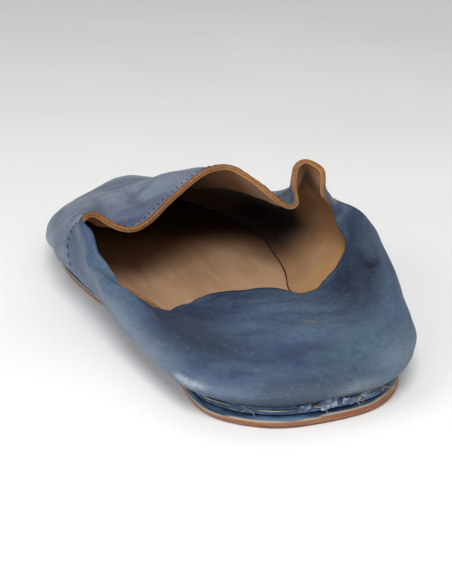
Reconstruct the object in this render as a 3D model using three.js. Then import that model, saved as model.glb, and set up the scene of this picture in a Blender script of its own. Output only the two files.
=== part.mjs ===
// A babouche: a soft leather slipper whose heel quarter is trodden down flat, so that it is worn as a mule.
// Four pieces that a maker would cut and join: outsole, rand, insole and a one-skin upper.
// Millimetres, +Z up, +Y towards the toe, +X to the right seen from the heel. The origin is on the floor,
// half way along the sole's centre line.
import * as THREE from "three";

// Driving dimensions.
const LENGTH = 258; // outsole, from the heel's back to the toe's tip
const BALL_WIDTH = 100; // outsole, across the ball
const INSTEP = 54; // top of the throat above the floor
const TOE_SPRING = 5; // lift of the toe's tip off the floor

// Thicknesses and margins.
const SOLE_THICKNESS = 4;
const RAND_THICKNESS = 1.5;
const RAND_WIDTH = 6;
const LEATHER = 1.8; // upper leather with its lining
const INSOLE_THICKNESS = 3.4;
const GAP = 0.3; // between pieces that lie on each other
const SOLE_MARGIN = 1.6; // how far the outsole stands out past the upper's foot line
const RAND_MARGIN = 1.0;
const TURN_IN = 6.5; // upper's margin, turned in under the insole's edge

// Facets.
const COLUMNS_PER_SECTION = 5;
const EVENING_PASSES = 6;
const RIB_STEPS = [4, 5, 6]; // foot to belly, belly to fold, fold to edge

// The last that the table below describes; its sizes scale to the driving dimensions.
const LAST = { length: 258, ballWidth: 100, instep: 54 };
const SCALE = new THREE.Vector3(
  BALL_WIDTH / LAST.ballWidth,
  LENGTH / LAST.length,
  INSTEP / LAST.instep,
);

// One row for each section round the shoe, from the heel's back by the right side to the toe and home by the left.
// foot: where the wall leaves the sole, [aside, along]; belly: its fullest point, [out, up];
// fold: the top of the roll or the vamp's shoulder, and edge: the raw top edge, both [aside, along, up].
const SECTIONS = [
  { name: "heel back", foot: [1, 0], belly: [5.5, 12], fold: [1, 8, 20], edge: [4, 79, 16] },
  { name: "heel back right", foot: [18, 4], belly: [6, 12], fold: [16, 12, 20], edge: [12, 77, 16] },
  { name: "heel corner right", foot: [31.5, 17.5], belly: [7, 13], fold: [33, 25, 22], edge: [20, 71, 15] },
  { name: "heel side right", foot: [36, 44], belly: [10.5, 19], fold: [43.5, 51, 30], edge: [34, 80, 17] },
  { name: "side right", foot: [36, 70], belly: [14, 24], fold: [50, 74, 35.5], edge: [43, 88, 26] },
  { name: "quarter end right", foot: [36, 90], belly: [14.5, 24], fold: [52, 91, 37.5], edge: [44, 97, 34] },
  { name: "corner right", foot: [37.5, 108], belly: [12, 22], fold: [47, 102, 39], edge: [42.5, 97, 43] },
  { name: "wing right", foot: [41, 134], belly: [9, 18], fold: [42, 122, 39], edge: [37, 109, 54] },
  { name: "ball right", foot: [45, 165], belly: [8, 14], fold: [38, 148, 31], edge: [25, 97, 41] },
  { name: "toe side right", foot: [40, 200], belly: [6, 11], fold: [31, 184, 25], edge: [20, 101, 44.5] },
  { name: "toe corner right", foot: [22, 233], belly: [3, 10.5], fold: [17, 215, 19.5], edge: [15, 111, 49] },
  { name: "toe", foot: [2, 256], belly: [1, 9], fold: [3, 234, 17], edge: [8, 119, 52.5] },
  { name: "toe corner left", foot: [-17, 238], belly: [2.5, 10], fold: [-14, 218, 18.5], edge: [-2, 118.5, 51.5] },
  { name: "toe side left", foot: [-38, 207], belly: [6, 11], fold: [-31, 190, 24], edge: [-19, 110, 44] },
  { name: "ball left", foot: [-47, 172], belly: [8, 14], fold: [-44, 152, 30], edge: [-35, 102, 36.5] },
  { name: "wing left", foot: [-45.5, 140], belly: [12.5, 19], fold: [-54, 128, 33], edge: [-48, 107, 41] },
  { name: "corner left", foot: [-40, 110], belly: [13.5, 18], fold: [-55, 108, 34.5], edge: [-53, 100, 41] },
  { name: "quarter end left", foot: [-37, 92], belly: [14, 16], fold: [-53.5, 92, 30], edge: [-49.5, 88, 36] },
  { name: "side left", foot: [-35, 70], belly: [13.5, 14], fold: [-49, 74, 30], edge: [-41.5, 78, 24] },
  { name: "heel side left", foot: [-35, 44], belly: [12, 13], fold: [-43, 51, 24], edge: [-32, 68, 15] },
  { name: "heel corner left", foot: [-33.5, 15.5], belly: [8.5, 12], fold: [-34, 25, 21], edge: [-15, 81, 15] },
  { name: "heel back left", foot: [-18.5, 1.5], belly: [6, 12], fold: [-17, 11, 20], edge: [-5, 80, 16] },
];

const COLUMNS = SECTIONS.length * COLUMNS_PER_SECTION;
const UP = new THREE.Vector3(0, 0, 1);

// Lift of the sole's upper and lower faces off the floor: flat to the ball, then rising to the toe.
function toeLift(along) {
  const start = 0.72 * LENGTH;
  const rise = Math.max(0, along - start) / (LENGTH - start);
  return TOE_SPRING * rise * rise;
}

// A closed curve through one named point of every section.
function ringCurve(point) {
  return new THREE.CatmullRomCurve3(SECTIONS.map(point), true, "centripetal");
}

function lastPoint([aside, along, up = 0]) {
  return new THREE.Vector3(aside, along, up).multiply(SCALE);
}

const footCurve = ringCurve((section) => lastPoint(section.foot));
const foldCurve = ringCurve((section) => lastPoint(section.fold));
const edgeCurve = ringCurve((section) => lastPoint(section.edge));
const bellyCurve = ringCurve((section) => lastPoint([0, ...section.belly]));

// Where column number i stands on the foot line, and the way out of the shoe there.
function footAt(i) {
  const at = ((i % COLUMNS) + COLUMNS) % COLUMNS / COLUMNS;
  const tangent = footCurve.getTangent(at);
  return { at, point: footCurve.getPoint(at), out: tangent.cross(UP).normalize() };
}

// A point beside the foot line: out from it, and up from the floor on the lifted sole.
function beside(foot, out, up) {
  const p = foot.point.clone().addScaledVector(foot.out, out);
  p.z = up + toeLift(p.y);
  return p;
}

// One rib of the upper's outer skin, from the turned-in margin up the wall and over to the raw edge.
function rib(i) {
  const foot = footAt(i);
  const seat = SOLE_THICKNESS + RAND_THICKNESS + 2 * GAP;
  const belly = bellyCurve.getPoint(foot.at);
  const wall = new THREE.CatmullRomCurve3(
    [
      beside(foot, -1, seat),
      beside(foot, belly.y, belly.z),
      foldCurve.getPoint(foot.at),
      edgeCurve.getPoint(foot.at),
    ],
    false,
    "centripetal",
  );
  const points = [beside(foot, -TURN_IN, seat), wall.getPoint(0)];
  RIB_STEPS.forEach((steps, part) => {
    for (let n = 1; n <= steps; n++) points.push(wall.getPoint((part + n / steps) / RIB_STEPS.length));
  });
  return points;
}

// Normals of a skin of ribs, pointing to its outer side. They are evened out along each rib, so that the
// inner skin turns a tight roll without crossing itself.
function skinNormals(ribs) {
  const last = ribs[0].length - 1;
  const evened = (row) => row.map((normal, j) =>
    j === 0 || j === last
      ? normal
      : normal.clone().multiplyScalar(2).add(row[j - 1]).add(row[j + 1]).normalize(),
  );
  return ribs.map((points, i) => {
    const before = ribs[(i + ribs.length - 1) % ribs.length];
    const after = ribs[(i + 1) % ribs.length];
    let row = points.map((_, j) => {
      const round = after[j].clone().sub(before[j]);
      const upward = points[Math.min(j + 1, last)].clone().sub(points[Math.max(j - 1, 0)]);
      return round.cross(upward).normalize();
    });
    for (let pass = 0; pass < EVENING_PASSES; pass++) row = evened(row);
    return row;
  });
}

// A closed mesh from rings of points: each ring is joined to the next one round the shoe.
function meshFromRings(rings, closeLoop) {
  const vertices = [];
  const triangles = [];
  const index = rings.map((ring) =>
    ring.map((p) => {
      vertices.push(p.x, p.y - LENGTH / 2, p.z);
      return vertices.length / 3 - 1;
    }),
  );
  const steps = closeLoop ? rings.length : rings.length - 1;
  for (let r = 0; r < steps; r++) {
    const a = index[r];
    const b = index[(r + 1) % rings.length];
    const pick = (ring, i) => ring[ring.length === COLUMNS ? i % COLUMNS : spineIndex(i % COLUMNS)];
    for (let i = 0; i < COLUMNS; i++) {
      const corners = [pick(a, i), pick(a, i + 1), pick(b, i + 1), pick(b, i)];
      triangles.push(corners[0], corners[1], corners[2], corners[0], corners[2], corners[3]);
    }
  }
  const geometry = new THREE.BufferGeometry();
  geometry.setAttribute("position", new THREE.Float32BufferAttribute(vertices, 3));
  geometry.setIndex(triangles.filter((_, n) => {
    const first = n - (n % 3);
    const [a, b, c] = triangles.slice(first, first + 3);
    return a !== b && b !== c && c !== a;
  }));
  geometry.computeVertexNormals();
  return geometry;
}

// A plate closes on a spine along the shoe's middle, which the right and left columns share.
function spineIndex(i) {
  return Math.min(i, COLUMNS - i);
}

function spine(up) {
  return Array.from({ length: COLUMNS / 2 + 1 }, (_, i) => {
    const along = LENGTH * (0.13 + 0.72 * (i / (COLUMNS / 2)));
    return new THREE.Vector3(0, along, up + toeLift(along));
  });
}

function columns(make) {
  return Array.from({ length: COLUMNS }, (_, i) => make(footAt(i)));
}

// A flat piece with the sole's outline: its rim stands out from the foot line, and its edges are eased.
function plate(out, bottom, thickness, ease) {
  const top = bottom + thickness;
  const ring = (inset, up) => columns((foot) => beside(foot, out - inset, up));
  const halfWayIn = (up) => {
    const middle = spine(up);
    return ring(ease, up).map((p, i) => {
      const q = p.lerp(middle[spineIndex(i)], 0.5);
      q.z = up + toeLift(q.y);
      return q;
    });
  };
  return meshFromRings([
    spine(bottom),
    halfWayIn(bottom),
    ring(ease, bottom),
    ring(0, bottom + ease),
    ring(0, top - ease),
    ring(ease, top),
    halfWayIn(top),
    spine(top),
  ], false);
}

function upperGeometry() {
  const outer = Array.from({ length: COLUMNS }, (_, i) => rib(i));
  const normals = skinNormals(outer);
  const inner = outer.map((points, i) =>
    points.map((p, j) => p.clone().addScaledVector(normals[i][j], -LEATHER)),
  );
  const ringOf = (ribs, j) => ribs.map((points) => points[j]);
  const steps = outer[0].map((_, j) => j);
  return meshFromRings([
    ...steps.map((j) => ringOf(outer, j)),
    ...steps.reverse().map((j) => ringOf(inner, j)),
  ], true);
}

function randGeometry() {
  const bottom = SOLE_THICKNESS + GAP;
  const top = bottom + RAND_THICKNESS;
  const ring = (out, up) => columns((foot) => beside(foot, out, up));
  const inner = RAND_MARGIN - RAND_WIDTH;
  return meshFromRings([
    ring(inner, bottom),
    ring(RAND_MARGIN, bottom),
    ring(RAND_MARGIN + 0.2, (bottom + top) / 2),
    ring(RAND_MARGIN, top),
    ring(inner, top),
  ], true);
}

// Materials.
const blueLeather = new THREE.MeshStandardMaterial({ color: 0x46608a, roughness: 0.55, metalness: 0 });
const tanLeather = new THREE.MeshStandardMaterial({ color: 0xa9825c, roughness: 0.8, metalness: 0 });
const soleLeather = new THREE.MeshStandardMaterial({ color: 0xb5745a, roughness: 0.75, metalness: 0 });

const slipper = new THREE.Group();

function add(name, geometry, material) {
  const mesh = new THREE.Mesh(geometry, material);
  mesh.name = name;
  slipper.add(mesh);
}

add("outsole", plate(SOLE_MARGIN, 0, SOLE_THICKNESS, 0.6), soleLeather);
add("rand", randGeometry(), blueLeather);
add("insole", plate(-TURN_IN - GAP, SOLE_THICKNESS + GAP, INSOLE_THICKNESS, 0.4), tanLeather);
add("upper", upperGeometry(), blueLeather);

export default slipper;
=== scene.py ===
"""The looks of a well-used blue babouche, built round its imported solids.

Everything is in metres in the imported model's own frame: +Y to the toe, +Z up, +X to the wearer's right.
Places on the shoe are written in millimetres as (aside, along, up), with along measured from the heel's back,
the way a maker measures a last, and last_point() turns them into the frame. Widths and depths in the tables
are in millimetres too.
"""

import math
from collections import namedtuple

import bmesh
import bpy
import numpy as np
from mathutils import Matrix, Vector
from mathutils.bvhtree import BVHTree
from mathutils.kdtree import KDTree


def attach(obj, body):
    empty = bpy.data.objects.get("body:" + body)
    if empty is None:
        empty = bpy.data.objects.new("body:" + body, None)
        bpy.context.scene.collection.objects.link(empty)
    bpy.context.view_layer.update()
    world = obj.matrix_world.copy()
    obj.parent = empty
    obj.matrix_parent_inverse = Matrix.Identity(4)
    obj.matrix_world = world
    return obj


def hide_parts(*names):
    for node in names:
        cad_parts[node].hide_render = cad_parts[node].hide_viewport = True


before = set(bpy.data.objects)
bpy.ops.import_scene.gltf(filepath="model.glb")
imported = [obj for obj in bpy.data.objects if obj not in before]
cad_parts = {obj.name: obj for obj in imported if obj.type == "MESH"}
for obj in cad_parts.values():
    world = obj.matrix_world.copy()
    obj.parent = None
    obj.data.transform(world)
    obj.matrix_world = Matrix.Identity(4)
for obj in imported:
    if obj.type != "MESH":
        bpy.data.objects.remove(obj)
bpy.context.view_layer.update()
rng = np.random.default_rng(7)

MM = 0.001
SOLE_LENGTH = 258.0  # millimetres, from the heel's back to the toe's tip
GRAIN_THICKNESS = 1.05 * MM  # the blue leather, seen at its raw edge
LINING_THICKNESS = 0.65 * MM
RAW_CORNER = math.radians(55)  # a corner sharper than this parts grain side, cut edge and flesh side
TOE_SPRING = 5 * MM  # how far the sole's tip is off the ground
SPRING_START = 0.72 * SOLE_LENGTH

Crease = namedtuple("Crease", "name width depth path")
Pull = namedtuple("Pull", "name at move reach")
Mark = namedtuple("Mark", "name width strength path")
Tuft = namedtuple("Tuft", "name at towards count length")
Flake = namedtuple("Flake", "at along width height off")

# Soft troughs and ridges of the blue leather, pressed in. depth is negative for a ridge.
CREASES = [
    Crease("heel, long crease", 2.6, 0.75,
           [(-34, 17, 19), (-26, 14, 20), (-20, 10, 20), (-12, 10, 20), (0, 13, 20), (10, 20, 21)]),
    Crease("heel, low left crease", 2.4, 0.6, [(-37, 20, 18), (-33, 10, 17), (-28, 8, 18), (-20, 5, 16)]),
    Crease("quarter, middle swell", 6.0, -0.8, [(-30, 26, 21), (-12, 24, 20), (8, 30, 20), (24, 38, 20)]),
    Crease("quarter, upper crease", 3.0, 0.6,
           [(-24, 40, 19), (-10, 44, 19), (4, 47, 19), (14, 42, 19), (22, 38, 20)]),
    Crease("quarter, edge crease", 2.2, 0.45, [(-24, 62, 18), (-8, 60, 18), (8, 60, 18), (18, 56, 18)]),
    Crease("right roll, long fold", 3.0, 0.8,
           [(38, 84, 27), (39, 70, 27), (37, 56, 26), (31, 42, 23), (24, 34, 21)]),
    Crease("right roll, second fold", 2.2, 0.55,
           [(45, 82, 34), (45, 68, 32), (42, 54, 29), (37, 40, 25)]),
    Crease("right roll, third fold", 2.0, 0.5, [(30, 62, 20), (31, 54, 21), (27, 44, 21), (20, 38, 20)]),
    Crease("right roll, scuffed dent", 3.2, 0.7, [(41, 64, 28), (40, 56, 28), (38, 53, 27)]),
    Crease("heel corner, flat", 5.0, 0.8, [(37, 24, 13), (32, 12, 12), (22, 3, 12)]),
    Crease("heel corner, pinch", 2.0, -0.7, [(40, 30, 19), (39, 20, 16), (34, 12, 16)]),
    Crease("left roll, trough beside the edge", 4.5, 1.1,
           [(-45, 70, 27), (-41, 56, 23), (-38, 42, 21), (-34, 28, 20), (-27, 17, 19)]),
    Crease("left roll, crown", 3.5, -0.5,
           [(-50, 82, 30), (-47, 66, 26), (-43, 48, 23), (-39, 32, 21), (-36, 20, 19)]),
    Crease("vamp, ridge from the left corner", 3.5, -1.0,
           [(-52, 106, 40), (-48, 126, 36), (-44, 150, 30), (-40, 178, 23)]),
    Crease("vamp, trough above that ridge", 5.0, 1.2,
           [(-46, 106, 38), (-42, 128, 35), (-37, 152, 31), (-30, 184, 24)]),
    Crease("vamp, side fold", 3.0, 0.8, [(-57, 122, 26), (-57, 136, 22), (-54, 152, 17), (-50, 168, 13)]),
    Crease("vamp, second side fold", 2.4, 0.6,
           [(-56, 124, 33), (-56, 140, 29), (-53, 158, 23), (-47, 178, 17)]),
    Crease("vamp, instep fold left", 4.0, 0.9,
           [(-27, 116, 39), (-26, 134, 37), (-22, 160, 32), (-16, 190, 25)]),
    Crease("vamp, instep ridge", 6.0, -0.9,
           [(-12, 124, 46), (-10, 150, 39), (-7, 180, 31), (-4, 212, 23)]),
    Crease("vamp, instep fold right", 4.0, 1.0,
           [(25, 104, 40), (24, 124, 38), (20, 152, 33), (14, 186, 26)]),
    Crease("vamp, toe valley", 5.0, 1.0, [(-20, 214, 20), (-9, 226, 18), (4, 230, 18)]),
    Crease("vamp, flex crease across", 3.0, 0.7,
           [(-40, 168, 25), (-24, 176, 28), (-4, 178, 32), (18, 174, 29), (34, 164, 26)]),
    Crease("vamp, second flex crease", 2.6, 0.55,
           [(-36, 184, 22), (-18, 192, 25), (2, 194, 28), (20, 190, 25)]),
    Crease("vamp, right side fold", 3.0, 0.7,
           [(50, 112, 30), (52, 130, 24), (51, 150, 18), (48, 168, 14)]),
]

# Where the edge and the folds were pushed by the foot: everything within reach of a place goes along softly.
PULLS = [
    Pull("left corner, lip up", (-48, 106, 41), (-0.5, 0.0, 1.6), 6),
    Pull("left corner, out", (-53, 100, 41), (-2.4, -0.6, 0.6), 5),
    Pull("left quarter edge, flatter", (-49, 88, 36), (-1.8, 0.0, -1.4), 8),
    Pull("left quarter edge, back", (-41, 77, 23), (-2.5, -3.5, 0.8), 7),
    Pull("left limb, out, upper", (-50, 88, 33), (-2.4, 0.0, -1.0), 7),
    Pull("left limb, out, lower", (-47, 78, 28), (-2.0, 0.0, -1.0), 7),
    Pull("left belly, out by the heel", (-47, 44, 13), (-1.2, 0.0, 0.0), 12),
    Pull("left belly, out at the waist", (-48, 66, 13), (-2.6, 0.0, 0.0), 13),
    Pull("left belly, out", (-48, 88, 13), (-1.6, 0.0, 0.0), 12),
    Pull("left belly, out at the seam", (-50, 108, 11), (-2.6, 0.0, 0.0), 13),
    Pull("left belly, out at the ball", (-54, 130, 11), (-1.8, 0.0, 0.0), 14),
    Pull("left crest, lower", (-49, 72, 29), (-1.5, 0.0, -1.5), 8),
    Pull("left lip by the notch, up", (-36, 70, 18), (-1.0, -2.5, 1.2), 5),
    Pull("left quarter notch", (-32, 68, 15), (0.0, -1.2, -0.4), 4),
    Pull("quarter edge beside the notch", (-27, 70, 15), (-1.0, 2.6, 0.3), 6),
    Pull("right lobe, left limb", (31, 103, 47), (-2.9, 0.8, 0.6), 5),
    Pull("right lobe, left shoulder", (35, 107, 51), (-3.4, 0.8, 1.4), 4),
    Pull("right lobe, right shoulder", (40, 105, 51), (2.6, 0.0, 0.8), 4),
    Pull("right lobe, crown", (37, 109, 54), (0.0, 0.0, 0.6), 3),
    Pull("right edge, upper", (42, 98, 42), (-2.6, 0.0, 0.0), 5),
    Pull("right edge, bump", (43, 88, 27), (1.0, 0.0, 0.0), 5),
    Pull("vamp, fuller behind the throat", (-8, 150, 41), (0.0, 0.0, 2.0), 22),
    Pull("throat notch", (26, 98, 41), (1.6, 0.0, -0.4), 4),
]

# Where the blue is made pale, as narrow streaks on the crowns of the folds: partly pale wear from rubbing,
# partly painted highlight along the crowns of the rolls.
RUBBED_AND_HIGHLIT = [
    Mark("left heel roll, bright streak", 1.2, 1.3, [(-45, 22, 14), (-41, 14, 13), (-37, 8, 13)]),
    Mark("left heel roll, round it", 4.0, 0.18,
         [(-46, 34, 16), (-42, 16, 14), (-34, 3, 13), (-26, 0, 13)]),
    Mark("left roll, crown", 4.5, 0.45,
         [(-51, 84, 25), (-49, 67, 19), (-48, 48, 15), (-46, 31, 14), (-42, 17, 13)]),
    Mark("left corner", 3.0, 0.2, [(-55, 108, 39), (-58, 118, 35), (-59, 124, 28)]),
    Mark("heel roll, middle", 3.0, 0.12, [(-20, -4, 14), (-8, -6, 13), (4, -5, 13), (18, -1, 14)]),
    Mark("heel roll, right speckle", 2.0, 0.55, [(-2, -6, 11), (8, -4, 12), (18, 0, 12), (26, 5, 12)]),
    Mark("right heel corner", 5.0, 0.35, [(16, -1, 15), (24, 4, 15), (34, 12, 15), (40, 24, 15)]),
    Mark("right roll", 6.0, 0.25, [(46, 50, 24), (50, 66, 29), (52, 82, 33)]),
    Mark("left ball", 7.0, 0.45, [(-57, 132, 24), (-56, 150, 18), (-52, 170, 14)]),
    Mark("toe", 8.0, 0.5, [(-22, 240, 14), (0, 252, 13), (20, 238, 14)]),
    Mark("vamp ridge", 7.0, 0.35, [(-10, 160, 38), (-8, 190, 30), (-4, 220, 22)]),
    Mark("throat lip", 2.0, 0.35, [(-46, 106, 40), (-35, 104, 36), (-20, 112, 44), (-4, 121, 51)]),
]
# Where the blue leather is made darker. Painted shade: the hollow inside the left roll, below and left of the
# quarter's left edge, the right side and its fold, and the vamp beside the right lobe.
DARK_MARKS = [
    # Dark lines along the heel's creases.
    Mark("heel crease, dark line", 0.9, 0.6, [(-37, 15, 18), (-30, 10, 18), (-24, 5, 17), (-18, 3, 16)]),
    Mark("heel crease, upper dark line", 0.8, 0.5, [(-18, 12, 20), (-9, 12, 20), (2, 16, 20), (12, 22, 20)]),
    # Painted shade in the hollow inside the left roll.
    Mark("quarter, left hollow", 8.0, 1.3,
         [(-39, 62, 21), (-37, 48, 21), (-35, 34, 21), (-29, 22, 20), (-22, 16, 20)]),
    # Painted shade left of the quarter's edge.
    Mark("quarter, left of its edge", 14.0, 0.7, [(-30, 60, 16), (-18, 66, 17)]),
    # Darker towards the sole along the heel's roll.
    Mark("heel roll, darker near the sole", 5.0, 0.9,
         [(-28, 0, 10), (-12, -6, 10), (4, -6, 10), (22, 1, 9)]),
    Mark("heel roll, middle", 7.0, 0.8, [(-27, -1, 14), (-20, -4, 13), (-4, -5, 13), (12, -2, 14)]),
    Mark("vamp, by the left corner", 9.0, 0.35,
         [(-52, 92, 34), (-56, 110, 33), (-56, 124, 31), (-54, 140, 28)]),
    # Painted shade below the quarter's left edge.
    Mark("quarter, below its left edge", 9.0, 0.8, [(-34, 60, 18), (-28, 50, 17), (-24, 42, 18)]),
    # Painted shade on the right side.
    Mark("right side, upper", 14.0, 0.7, [(47, 90, 38), (49, 74, 32), (46, 58, 28)]),
    Mark("quarter, edge", 9.0, 0.6, [(-20, 72, 16), (0, 73, 16), (16, 68, 16)]),
    # Painted shade on the quarter's right fold.
    Mark("quarter, right fold", 13.0, 1.2, [(46, 84, 28), (40, 66, 26), (32, 50, 23), (26, 38, 21)]),
    Mark("right corner", 12.0, 0.9, [(46, 96, 40), (50, 84, 36)]),
    # Painted shade in the left heel hollow.
    Mark("left heel hollow", 7.0, 0.4, [(-34, 40, 20), (-30, 24, 20), (-24, 14, 20)]),
    # Painted shade on the vamp beside the right lobe.
    Mark("vamp, beside the right lobe", 11.0, 1.3,
         [(8, 130, 47), (18, 122, 45), (28, 116, 43), (38, 116, 43)]),
    Mark("throat, beside the edge", 4.0, 0.35,
         [(-40, 104, 37), (-28, 108, 40), (-14, 122, 47), (0, 128, 50)]),
]
# Where the foot of the wall leans in over the sole, and the insole's edge with it.
WALL_FOOT = Pull("right wall, its foot", (37, 92, 7), (-6.0, 0.0, 0.0), 17)

# The stretch of the left quarter's edge that is rolled over, so that its grain side shows all the way round.
LEFT_EDGE_ROLL = Mark("left edge, rolled over", 6.0, 1.3,
                      [(-55, 102, 40), (-53, 94, 37), (-50, 86, 33), (-48, 80, 29)])

# Below it the cut edge stands up and shows tan as far as the notch.
LEFT_TAN_LIP = Mark("left lip", 5.0, 1.2, [(-46, 76, 25), (-42, 72, 22), (-37, 68, 18), (-33, 66, 15)])

# The frayed stretch of the throat beside the right lobe.
THROAT_TEAR = Mark("throat, frayed", 4.0, 1.2, [(13, 113, 50), (20, 101, 45), (25, 98, 41)])

# Painted shade on the lining: under the vamp, inside the right lobe and the throat, and along the corner by
# the insole.
LINING_SHADES = [
    Mark("inside the right lobe", 5.0, 0.8, [(34, 106, 52), (38, 112, 47), (42, 112, 40)]),
    Mark("inside the throat, right", 8.0, 0.4, [(20, 120, 44), (34, 118, 38), (44, 118, 30)]),
    Mark("under the vamp, left", 22.0, 0.8, [(-44, 130, 24), (-34, 180, 20)]),
    Mark("under the vamp, crown", 26.0, 0.8, [(0, 150, 40), (0, 210, 24)]),
    Mark("under the vamp, right", 17.0, 1.2,
         [(48, 134, 18), (50, 160, 14), (44, 190, 13), (34, 206, 13)]),
    Mark("along the insole, right", 4.0, 0.15, [(34, 88, 9), (38, 116, 9), (40, 140, 9)]),
]
SCUFFS = [
    Mark("scuff on the right roll", 1.1, 2.2, [(40, 65, 29), (40, 60, 28), (42, 56, 29)]),
    Mark("scuff, tail", 0.9, 2.0, [(43, 62, 29), (43, 57, 29), (44, 54, 28)]),
    Mark("right corner, scuffed seam", 1.2, 1.0, [(47, 98, 38), (49, 102, 37)]),
]
NICKS = [
    Mark("quarter nick", 1.1, 2.0, [(5.4, 32.8, 20), (6.8, 32, 20)]),
    Mark("right heel graze", 1.4, 1.4, [(42, 38, 15), (41, 32, 15)]),
    Mark("right corner graze", 0.8, 1.6, [(44, 99, 41), (45, 98, 40)]),
]

# The seams that join the vamp to the heel quarter, down from the two corners of the throat.
SIDE_SEAMS = {
    "left": [(-53, 103, 40), (-55, 112, 37), (-57, 117, 31), (-57, 118, 26), (-55, 116, 19), (-47, 113, 10)],
    "right": [(46, 100, 43), (49, 106, 39), (51, 110, 33), (51, 112, 26), (48, 112, 18), (42, 111, 10)],
}


# Places and small helpers.
def last_point(aside, along, up):
    """A place measured on the last, in the frame."""
    return Vector((aside * MM, (along - SOLE_LENGTH / 2) * MM, up * MM))


def smooth_path(points, per_span=8):
    """A smooth line through a row of places, as an array of points in the frame."""
    knots = np.array([last_point(*p) for p in points])
    padded = np.vstack([2 * knots[0] - knots[1], knots, 2 * knots[-1] - knots[-2]])
    line = []
    for a, b, c, d in zip(padded, padded[1:], padded[2:], padded[3:]):
        for t in np.linspace(0, 1, per_span, endpoint=False):
            line.append(0.5 * (2 * b + (c - a) * t + (2 * a - 5 * b + 4 * c - d) * t * t
                               + (3 * b - a - 3 * c + d) * t ** 3))
    return np.array(line + [knots[-1]])


def distance_to_path(places, line):
    """Each place's distance to the nearest point of a line, and how far along it that is, 0 to 1."""
    nearest = np.full(len(places), 1e9)
    share = np.zeros(len(places))
    for n, (a, b) in enumerate(zip(line, line[1:])):
        step = b - a
        t = np.clip((places - a) @ step / max(step @ step, 1e-12), 0, 1)
        gap = np.linalg.norm(places - (a + t[:, None] * step), axis=1)
        closer = gap < nearest
        nearest[closer] = gap[closer]
        share[closer] = (n + t[closer]) / (len(line) - 1)
    return nearest, share


def smooth_step(value, low, high):
    """0 up to low, 1 from high on, and a soft slope between."""
    t = np.clip((value - low) / (high - low), 0, 1)
    return t * t * (3 - 2 * t)


def bell(gap, width):
    """1 where the gap is nothing, fading to either side over the width."""
    return np.exp(-((gap / width) ** 2))


def tree_of(places):
    """A finder of the nearest of many places."""
    tree = KDTree(len(places))
    for n, p in enumerate(places):
        tree.insert(p, n)
    tree.balance()
    return tree


def vertex_places(mesh):
    places = np.zeros(len(mesh.vertices) * 3)
    mesh.vertices.foreach_get("co", places)
    return places.reshape(-1, 3)


def vertex_normals(mesh):
    normals = np.zeros(len(mesh.vertices) * 3)
    mesh.vertex_normals.foreach_get("vector", normals)
    return normals.reshape(-1, 3)


def move_vertices(mesh, places):
    mesh.vertices.foreach_set("co", places.astype(np.float32).ravel())
    mesh.update()


def write_attribute(mesh, name, values):
    layer = mesh.attributes.new(name, "FLOAT", "POINT")
    layer.data.foreach_set("value", values.astype(np.float32))


def marked(places, marks):
    """How strongly each place is under the marks of a table, 0 to 1."""
    total = np.zeros(len(places))
    for mark in marks:
        gap, share = distance_to_path(places, smooth_path(mark.path))
        ends = 0.35 + 0.65 * np.sin(np.pi * share)
        total = np.maximum(total, mark.strength * ends * bell(gap, mark.width * MM))
    return np.clip(total, 0, 1)


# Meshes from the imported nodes.
def merged_copy(node):
    """A node's faces as one welded bmesh."""
    bm = bmesh.new()
    bm.from_mesh(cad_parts[node].data)
    bmesh.ops.remove_doubles(bm, verts=bm.verts[:], dist=1e-6)
    return bm


def join_quads(bm):
    """Joins the triangles back into quads."""
    bmesh.ops.join_triangles(bm, faces=bm.faces[:], angle_face_threshold=math.radians(60),
                             angle_shape_threshold=math.radians(80))


def parted_at_corners(bm):
    """Groups of faces that are joined without crossing a sharp corner, the largest first."""
    left = set(bm.faces)
    groups = []
    while left:
        waiting = [left.pop()]
        group = []
        while waiting:
            face = waiting.pop()
            group.append(face)
            for edge in face.edges:
                if edge.calc_face_angle(0) > RAW_CORNER:
                    continue
                for other in edge.link_faces:
                    if other in left:
                        left.remove(other)
                        waiting.append(other)
        groups.append(group)
    return sorted(groups, key=len, reverse=True)


def placed(name, data):
    """An object for a mesh, a curve, a camera or a light, put in the scene."""
    made = bpy.data.objects.new(name, data)
    bpy.context.scene.collection.objects.link(made)
    return made


def finished_piece(name, mesh, materials):
    """An object for a mesh that is already in its place, riding on the shoe."""
    piece = placed(name, mesh)
    for material in materials:
        mesh.materials.append(material)
    mesh.shade_smooth()
    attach(piece, "root")
    return piece


def with_modifier(mesh, kind, **settings):
    """A new mesh: the given one after a modifier."""
    holder = placed("holder", mesh)
    modifier = holder.modifiers.new("work", kind)
    for name, value in settings.items():
        setattr(modifier, name, value)
    evaluated = holder.evaluated_get(bpy.context.evaluated_depsgraph_get())
    made = bpy.data.meshes.new_from_object(evaluated)
    bpy.data.objects.remove(holder)
    bpy.data.meshes.remove(mesh)
    return made


def mesh_of(bm, name="sheet"):
    mesh = bpy.data.meshes.new(name)
    bm.to_mesh(mesh)
    bm.free()
    return mesh


def refined(mesh, levels=2):
    return with_modifier(mesh, "SUBSURF", levels=levels, render_levels=levels)


def thickened(mesh, thickness, rim_material):
    """Gives a sheet its thickness on the side away from its normals; the rim is the cut edge."""
    return with_modifier(mesh, "SOLIDIFY", thickness=thickness, offset=-1.0, use_even_offset=False,
                         use_rim=True, material_offset_rim=rim_material)


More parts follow.
